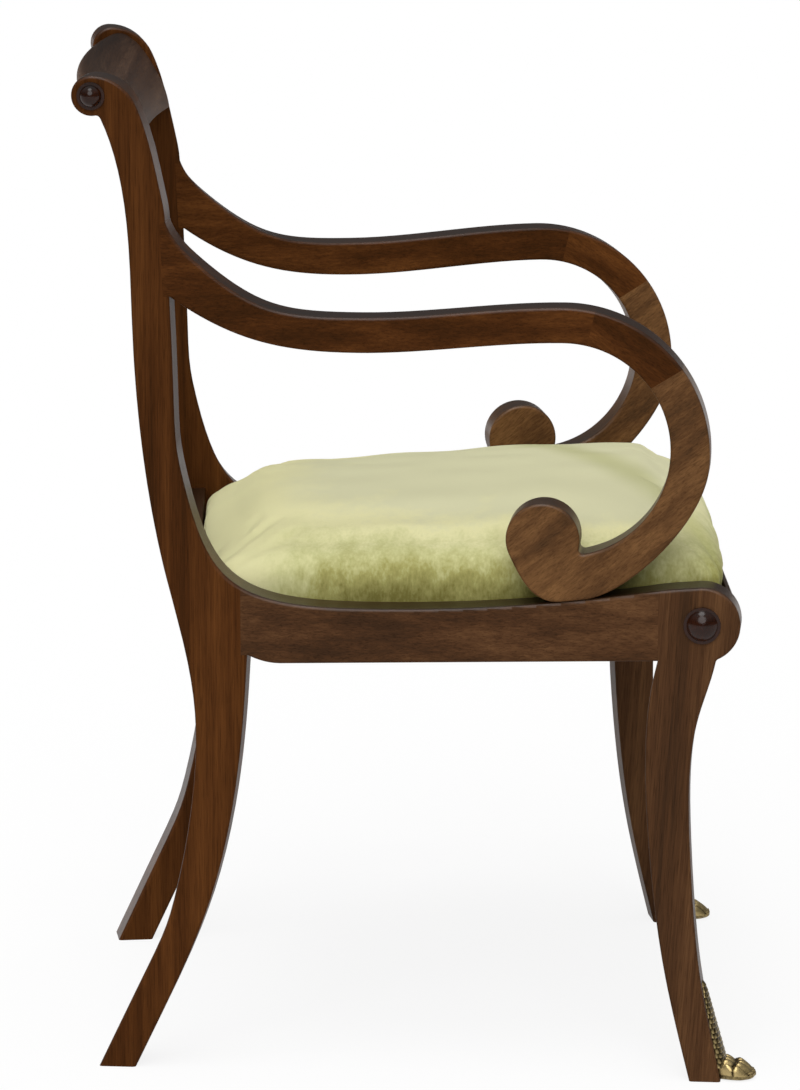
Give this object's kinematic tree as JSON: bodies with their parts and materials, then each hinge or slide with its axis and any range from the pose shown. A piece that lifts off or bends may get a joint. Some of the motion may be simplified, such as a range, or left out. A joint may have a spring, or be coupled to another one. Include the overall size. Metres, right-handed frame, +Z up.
{
  "type": "dining armchair",
  "caption": "Wooden dining armchair with scrolled arms, sabre legs, a drop-in padded seat, a bowed crest rail and brass paw toe-caps on the front feet.",
  "frame": {"origin": "on the floor, at the middle of the chair's overall width and length", "axes": "+Z up; the front of the chair faces -Y; +X is the sitter's left"},
  "size_m": [0.6022, 0.5982, 0.878],
  "materials": {
    "mahogany": "satin polish",
    "beech": "bare",
    "velvet": "short pile, slightly crushed",
    "jute": "coarse weave",
    "calico": "plain weave",
    "stuffing": "loose fibre",
    "brass": "antique, cast",
    "steel": "plain"
  },
  "bodies": {
    "frame": {"arm_dowels": "beech", "arm_elbow_left": "mahogany", "arm_elbow_right": "mahogany", "arm_rail_left": "mahogany", "arm_rail_right": "mahogany", "arm_screws": "steel", "arm_scroll_left": "mahogany", "arm_scroll_right": "mahogany", "back_rail": "mahogany", "cleat_screws": "steel", "corner_block_screws": "steel", "crest_boss_left": "mahogany", "crest_boss_right": "mahogany", "crest_rail": "mahogany", "cross_member_dowels": "beech", "cross_rail": "mahogany", "front_corner_block_left": "beech", "front_corner_block_right": "beech", "front_leg_left": "mahogany", "front_leg_right": "mahogany", "front_rail": "mahogany", "leg_boss_left": "mahogany", "leg_boss_right": "mahogany", "paw_foot_left": "brass", "paw_foot_right": "brass", "paw_pins": "brass", "rear_corner_block_left": "beech", "rear_corner_block_right": "beech", "rear_post_left": "mahogany", "rear_post_right": "mahogany", "seat_cleat_left": "beech", "seat_cleat_right": "beech", "side_frame_dowels": "beech", "side_rail_left": "mahogany", "side_rail_right": "mahogany"},
    "seat": {"seat_frame_right": "beech", "seat_frame_left": "beech", "seat_frame_front": "beech", "seat_frame_back": "beech", "seat_frame_dowels": "beech", "webbing_lengthwise": "jute", "webbing_crosswise": "jute", "hessian": "jute", "seat_pad": "stuffing", "seat_cover": "velvet", "dust_cover": "calico", "cover_tacks": "steel"}
  },
  "joints": [
    {"name": "seat_lift", "type": "slide", "parent": "frame", "child": "seat", "axis": [0, 0, 1], "range_m": [0, 0.32]}
  ]
}
